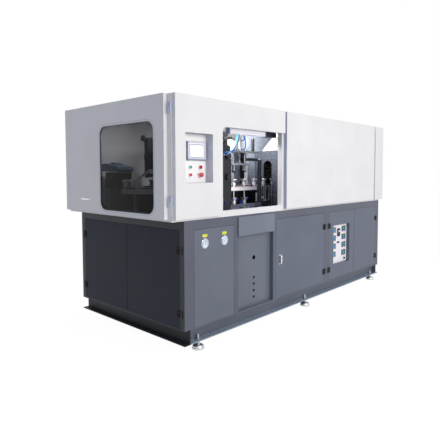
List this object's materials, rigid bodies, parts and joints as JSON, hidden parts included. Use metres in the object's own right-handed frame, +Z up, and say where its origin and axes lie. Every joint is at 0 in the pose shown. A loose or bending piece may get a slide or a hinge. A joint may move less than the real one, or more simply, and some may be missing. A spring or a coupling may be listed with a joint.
{
  "type": "blow moulding machine",
  "caption": "Linear stretch blow moulding machine with a doored base cabinet and a hood that closes over a mandrel chain, a clamp, a transfer station and an oven.",
  "frame": {"origin": "centre of the footprint, on the floor", "axes": "+X to the right along the operator's side, +Y from the operator's side to the rear, +Z up"},
  "size_m": [3.741, 1.636, 2.05],
  "materials": {
    "white_paint": "powder coated, satin",
    "door_paint": "powder coated slate grey, satin",
    "frame_paint": "powder coated slate grey, satin",
    "grey_paint": "powder coated grey, satin",
    "plinth_paint": "painted, satin",
    "dark_iron": "painted dark grey",
    "foot_steel": "brushed",
    "zinc_steel": "zinc plated",
    "machined_steel": "machined",
    "sheet_steel": "cold rolled sheet",
    "aluminium": "anodised, satin",
    "mould_aluminium": "milled",
    "gauge_chrome": "bright",
    "hinge_black": "black, satin",
    "black_plastic": "matt",
    "green_plastic": "gloss",
    "red_plastic": "gloss",
    "blue_hose": "polyurethane hose",
    "seal_rubber": "black profile rubber",
    "tinted_glass": "smoked sheet, clear",
    "lamp_glass": "quartz tube"
  },
  "bodies": {
    "machine": {"plinth": "plinth_paint", "foot_pads": "foot_steel", "foot_bolts": "zinc_steel", "base_frame": "frame_paint", "base_posts": "frame_paint", "gauge_panel": "door_paint", "gauge_cases": "gauge_chrome", "bay_panel": "door_paint", "bay_hood": "grey_paint", "fixed_panels": "door_paint", "deck_plate": "frame_paint", "base_hinges": "hinge_black", "hood_frame": "white_paint", "operator_panel": "white_paint", "control_box": "white_paint", "front_cover": "white_paint", "corner_cover": "white_paint", "plain_covers": "white_paint", "roof": "white_paint", "touch_screen": "black_plastic", "switch_collars": "zinc_steel", "corner_hinges": "white_paint", "work_lamp": "white_paint", "lamp_box": "dark_iron", "station_frame": "aluminium", "cylinder_plate": "machined_steel", "stretch_cylinders": "aluminium", "air_hoses": "blue_hose", "chain_rail": "white_paint", "mandrel_chain": "machined_steel", "chain_wheels": "dark_iron", "oven_housing": "sheet_steel", "oven_lamps": "lamp_glass", "clamp_frame": "dark_iron", "ejector_cylinders": "aluminium", "mounting_plate": "zinc_steel", "switchgear": "black_plastic", "air_receiver": "door_paint"},
    "window_door": {"window_door": "white_paint", "window_pane": "tinted_glass", "window_seal": "seal_rubber", "door_pull": "zinc_steel"},
    "end_door_front": {"end_door_front": "door_paint"},
    "end_door_rear": {"end_door_rear": "door_paint"},
    "front_door": {"front_door": "door_paint", "front_door_handle": "zinc_steel"},
    "cabinet_door_left": {"cabinet_door_left": "door_paint", "heater_panel": "grey_paint", "heat_controllers": "black_plastic"},
    "heater_knob": {"heater_knob": "black_plastic"},
    "cabinet_door_right": {"cabinet_door_right": "door_paint"},
    "gauge_needle_left": {"gauge_needle_left": "black_plastic"},
    "gauge_needle_right": {"gauge_needle_right": "black_plastic"},
    "start_button": {"start_button": "green_plastic"},
    "stop_button": {"stop_button": "red_plastic"},
    "selector_switch": {"selector_switch": "black_plastic"},
    "emergency_stop": {"emergency_stop": "red_plastic"},
    "nozzle_plate": {"nozzle_plate": "machined_steel"},
    "front_clamp_half": {"front_clamp_half": "mould_aluminium"},
    "rear_clamp_half": {"rear_clamp_half": "mould_aluminium"}
  },
  "joints": [
    {"name": "window_door_hinge", "type": "hinge", "parent": "machine", "child": "window_door", "pos_m": [-1.8047, -0.781, 1.5], "axis": [0, 0, 1], "range_deg": [0, 110]},
    {"name": "end_door_front_hinge", "type": "hinge", "parent": "machine", "child": "end_door_front", "pos_m": [-1.6823, -0.725, 0.6], "axis": [0, 0, 1], "range_deg": [0, 110]},
    {"name": "end_door_rear_hinge", "type": "hinge", "parent": "machine", "child": "end_door_rear", "pos_m": [-1.6823, 0.725, 0.6], "axis": [0, 0, -1], "range_deg": [0, 110]},
    {"name": "front_door_hinge", "type": "hinge", "parent": "machine", "child": "front_door", "pos_m": [0.4225, -0.7848, 0.6], "axis": [0, 0, 1], "range_deg": [0, 90]},
    {"name": "cabinet_door_left_hinge", "type": "hinge", "parent": "machine", "child": "cabinet_door_left", "pos_m": [0.5265, -0.7848, 0.6], "axis": [0, 0, -1], "range_deg": [0, 90]},
    {"name": "cabinet_door_right_hinge", "type": "hinge", "parent": "machine", "child": "cabinet_door_right", "pos_m": [1.7495, -0.7848, 0.6], "axis": [0, 0, 1], "range_deg": [0, 110]},
    {"name": "heater_knob_turn", "type": "hinge", "parent": "cabinet_door_left", "child": "heater_knob", "pos_m": [0.9595, -0.737, 0.394], "axis": [0, -1, 0], "range_deg": [-135, 135]},
    {"name": "gauge_needle_left_turn", "type": "hinge", "parent": "machine", "child": "gauge_needle_left", "pos_m": [-1.4525, -0.78, 0.868], "axis": [0, 1, 0], "range_deg": [0, 240], "stiffness_Nm_per_rad": 0.002},
    {"name": "gauge_needle_right_turn", "type": "hinge", "parent": "machine", "child": "gauge_needle_right", "pos_m": [-1.2205, -0.78, 0.868], "axis": [0, 1, 0], "range_deg": [0, 240], "stiffness_Nm_per_rad": 0.002},
    {"name": "start_button_press", "type": "slide", "parent": "machine", "child": "start_button", "axis": [0, 1, 0], "range_m": [0, 0.003], "stiffness_N_per_m": 800},
    {"name": "stop_button_press", "type": "slide", "parent": "machine", "child": "stop_button", "axis": [0, 1, 0], "range_m": [0, 0.003], "stiffness_N_per_m": 800},
    {"name": "emergency_stop_press", "type": "slide", "parent": "machine", "child": "emergency_stop", "axis": [0, 1, 0], "range_m": [0, 0.003], "stiffness_N_per_m": 800},
    {"name": "selector_switch_turn", "type": "hinge", "parent": "machine", "child": "selector_switch", "pos_m": [-1.4665, -0.737, 1.494], "axis": [0, -1, 0], "range_deg": [-45, 45]},
    {"name": "nozzle_plate_lift", "type": "slide", "parent": "machine", "child": "nozzle_plate", "axis": [0, 0, -1], "range_m": [0, 0.06]},
    {"name": "front_clamp_stroke", "type": "slide", "parent": "machine", "child": "front_clamp_half", "axis": [0, 1, 0], "range_m": [0, 0.0597]},
    {"name": "rear_clamp_stroke", "type": "slide", "parent": "machine", "child": "rear_clamp_half", "axis": [0, -1, 0], "range_m": [0, 0.0597]}
  ],
  "couplings": [
    {"joint": "rear_clamp_stroke", "follows": "front_clamp_stroke", "ratio": 1}
  ]
}
